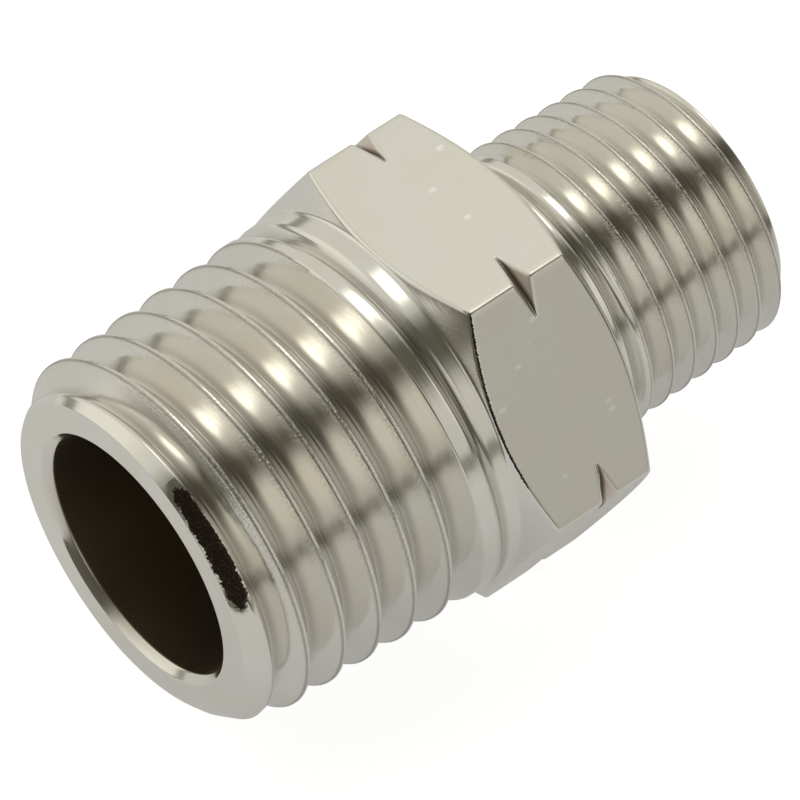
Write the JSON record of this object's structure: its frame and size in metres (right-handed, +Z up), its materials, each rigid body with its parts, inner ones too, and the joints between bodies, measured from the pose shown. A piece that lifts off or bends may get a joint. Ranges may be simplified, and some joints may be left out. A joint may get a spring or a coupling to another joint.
{
  "type": "hex nipple",
  "caption": "Reducing hex nipple in nickel-plated brass, with male taper threads, a wrench hexagon marked across its corners, and a stepped through passage.",
  "frame": {"origin": "on the bore axis, in the plane of the large end face", "axes": "+X along the bore axis from the large end to the small end, +Z up and square to a flat of the hexagon, so the nipple lies on the opposite flat"},
  "size_m": [0.0235, 0.0162, 0.014],
  "materials": {
    "nickel_plated_brass": "bright nickel plating over turned brass, satin on the hexagon's flats"
  },
  "bodies": {
    "root": {"nipple_body": "nickel_plated_brass"}
  },
  "joints": []
}
